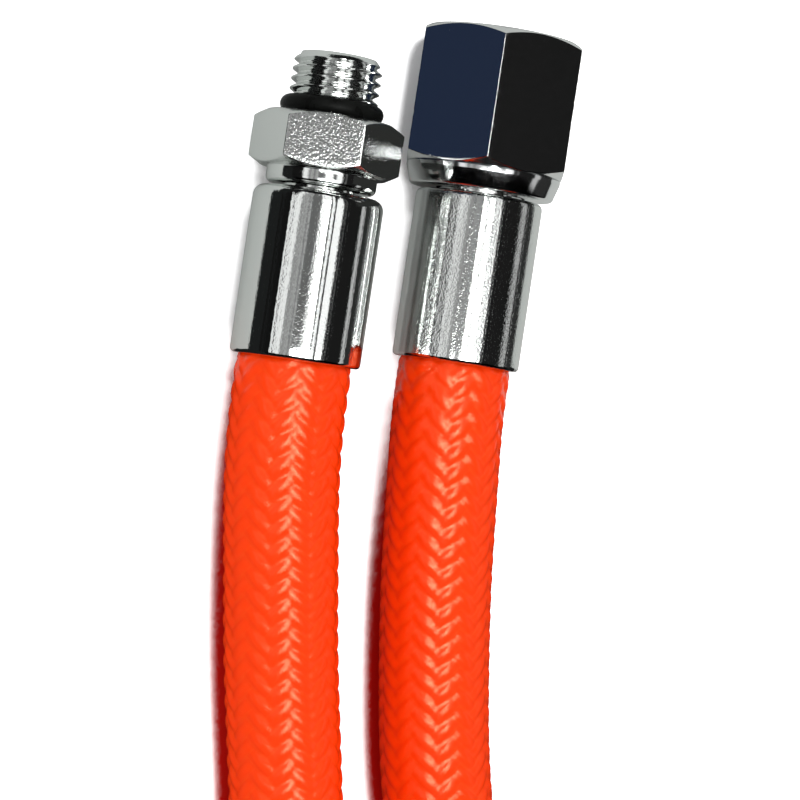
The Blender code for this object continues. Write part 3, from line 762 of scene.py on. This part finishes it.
def tones_by_angle(sheet, steps, change):
    """Grey tones by the angle up from the right, from steps of degrees and brightness.

    Gives the tone as a part of the brightest step, that step, the place and the angle in half turns.
    """
    place = sheet.add("SeparateXYZ", Vector=sheet.add("TexCoord").outputs["Object"]).outputs
    swung = sheet.math("DIVIDE", sheet.math("ARCTAN2", place[2], place[0]), math.pi)
    brightest = max(bright for _, bright in steps)
    ramp = sheet.add("ValToRGB", Fac=swung)
    ramp.color_ramp.interpolation = change
    while len(ramp.color_ramp.elements) < len(steps):
        ramp.color_ramp.elements.new(0.5)
    for element, (degrees, bright) in zip(ramp.color_ramp.elements, steps):
        element.position = degrees / 180.0
        element.color = (*[bright / brightest] * 3, 1.0)
    return ramp.outputs[0], brightest, place, swung


def mirrored_only(name, points, faces, finish):
    """A stage piece that only mirror reflections meet: it throws no light and no shadow."""
    mesh = bpy.data.meshes.new(name)
    mesh.from_pydata(points, [], faces)
    mesh.materials.append(finish)
    screen = bpy.data.objects.new(name, mesh)
    bpy.context.scene.collection.objects.link(screen)
    screen.visible_camera = False
    screen.visible_diffuse = False
    screen.visible_shadow = False
    screen.visible_transmission = False


def mirrored_arch(name, radius, near, far, finish, sides=90):
    """A half-round screen over the part, from one y to another, with its front inward."""
    arc = [(radius * math.cos(a), radius * math.sin(a))
           for a in np.radians(np.linspace(0, 180, sides + 1))]
    mirrored_only(name, [(x, y, z) for y in (near, far) for x, z in arc],
                  [(i + sides + 1, i + sides + 2, i + 1, i) for i in range(sides)], finish)


def one_way_glow(sheet, colour, strength):
    """Make a finish show a colour on its front side and nothing on the other."""
    sheet.tree.nodes.remove(sheet.tree.nodes["Principled BSDF"])
    front = sheet.add("Emission", Color=colour, Strength=strength)
    sheet.surface(sheet.add("MixShader", in0=sheet.add("NewGeometry").outputs["Backfacing"],
                            in1=front.outputs[0], in2=sheet.add("BsdfTransparent").outputs[0]))


def card_finish(name, colour):
    """Matt card of one colour."""
    return new_finish(name, Base_Color=(*colour, 1.0), Roughness=0.9, Specular_IOR_Level=0.0)[0]


# The far screen, and over the hoses, below the fittings, a broad lamp that shines through it
screen_steps = [
    (0, 0.03), (27, 0.03), (30, 0.55), (38, 0.55), (40, 0.012), (67, 0.012), (68.5, 0.22),
    (70, 0.012), (75, 0.012), (77, 1.2), (87, 1.2), (89, 0.08), (95, 0.08), (97, 1.2), (111, 1.2),
    (113, 0.14), (124, 0.16), (128, 0.50), (134, 0.18), (138, 0.50), (143, 0.22), (148, 1.0),
    (156, 1.0), (158, 0.008), (180, 0.008),
]
screen_finish, _, sheet = new_finish("mirrored_screen")
sheet.tree.nodes.remove(sheet.tree.nodes["Principled BSDF"])
tone, brightest, place, swung = tones_by_angle(sheet, screen_steps, "LINEAR")
lamp_part = sheet.math("MULTIPLY", sheet.graded(place[1], -0.06, -0.02, 1.0, 0.0),
                       sheet.math("MULTIPLY", sheet.graded(swung, 0.44, 0.48),
                                  sheet.graded(swung, 0.67, 0.71, 1.0, 0.0)))
strength = sheet.math("MULTIPLY", sheet.graded(place[1], -0.22, -0.17),
                      sheet.math("MULTIPLY_ADD", lamp_part, 7.5, brightest))
sheet.surface(sheet.add("Emission", Color=sheet.mixed(lamp_part, tone, WHITE), Strength=strength))
mirrored_arch("side_screen", SCREEN_RADIUS, -0.6, 0.6, screen_finish)

# A striped light tent over the two ferrules
tent_steps = [
    (0, 0.55), (27, 0.12), (42, 0.55), (55, 0.035), (77.6, 0.20), (80.4, 0.012), (90, 1.25),
    (104.6, 0.25), (110.5, 1.25), (122.5, 0.09), (133, 0.50), (139.5, 0.20), (146, 0.95),
    (155, 0.006), (168, 0.17), (170.5, 0.006),
]
tent_finish, _, sheet = new_finish("striped_tent")
tone, brightest, _, _ = tones_by_angle(sheet, tent_steps, "CONSTANT")
one_way_glow(sheet, tone, brightest)
mirrored_arch("light_tent", TENT_RADIUS, -0.019, 0.005, tent_finish)

# Cards that close the far screen's ends, and cards that lie on the table
black_card = card_finish("black_card", (0.012, 0.013, 0.013))
grey_card = card_finish("grey_card", (0.50, 0.52, 0.505))
for name, y in (("near_card", -0.6), ("far_card", 0.6)):
    mirrored_only(name, [(-SCREEN_RADIUS, y, 0), (SCREEN_RADIUS, y, 0),
                         (SCREEN_RADIUS, y, SCREEN_RADIUS), (-SCREEN_RADIUS, y, SCREEN_RADIUS)],
                  [(0, 1, 2, 3)], black_card)
for name, right, near, height, card in (
        ("grey_table_card", SCREEN_RADIUS, -0.0215, 0.0001, grey_card),
        ("hose_table_card", SCREEN_RADIUS, -0.6, 0.00005, black_card),
        ("black_table_card", -0.0355, -0.6, 0.0002, black_card)):
    mirrored_only(name, [(-SCREEN_RADIUS, near, height), (right, near, height),
                         (right, 0.6, height), (-SCREEN_RADIUS, 0.6, height)],
                  [(0, 1, 2, 3)], card)

# Three dark cards between the fittings: the first faces the nut, the others the male hexagon
toward_nut, toward_hexagon = (0, 1, 2, 3), (3, 2, 1, 0)
for name, x, near, far, top, side, tone in (
        ("navy_side_card", -0.0030, 0.0047, 0.0300, 0.021, toward_nut, (0.018, 0.028, 0.058)),
        ("low_side_card", -0.0036, -0.0008, 0.0035, 0.022, toward_hexagon, (0.030, 0.031, 0.030)),
        ("high_side_card", -0.0036, 0.0047, 0.0090, 0.022, toward_hexagon, (0.030, 0.031, 0.030))):
    card, _, sheet = new_finish(name)
    one_way_glow(sheet, (*tone, 1.0), 1.0)
    mirrored_only(name, [(x, near, 0.0), (x, far, 0.0), (x, far, top), (x, near, top)], [side], card)

bpy.context.scene.view_settings.view_transform = "Standard"

bpy.context.view_layer.update()
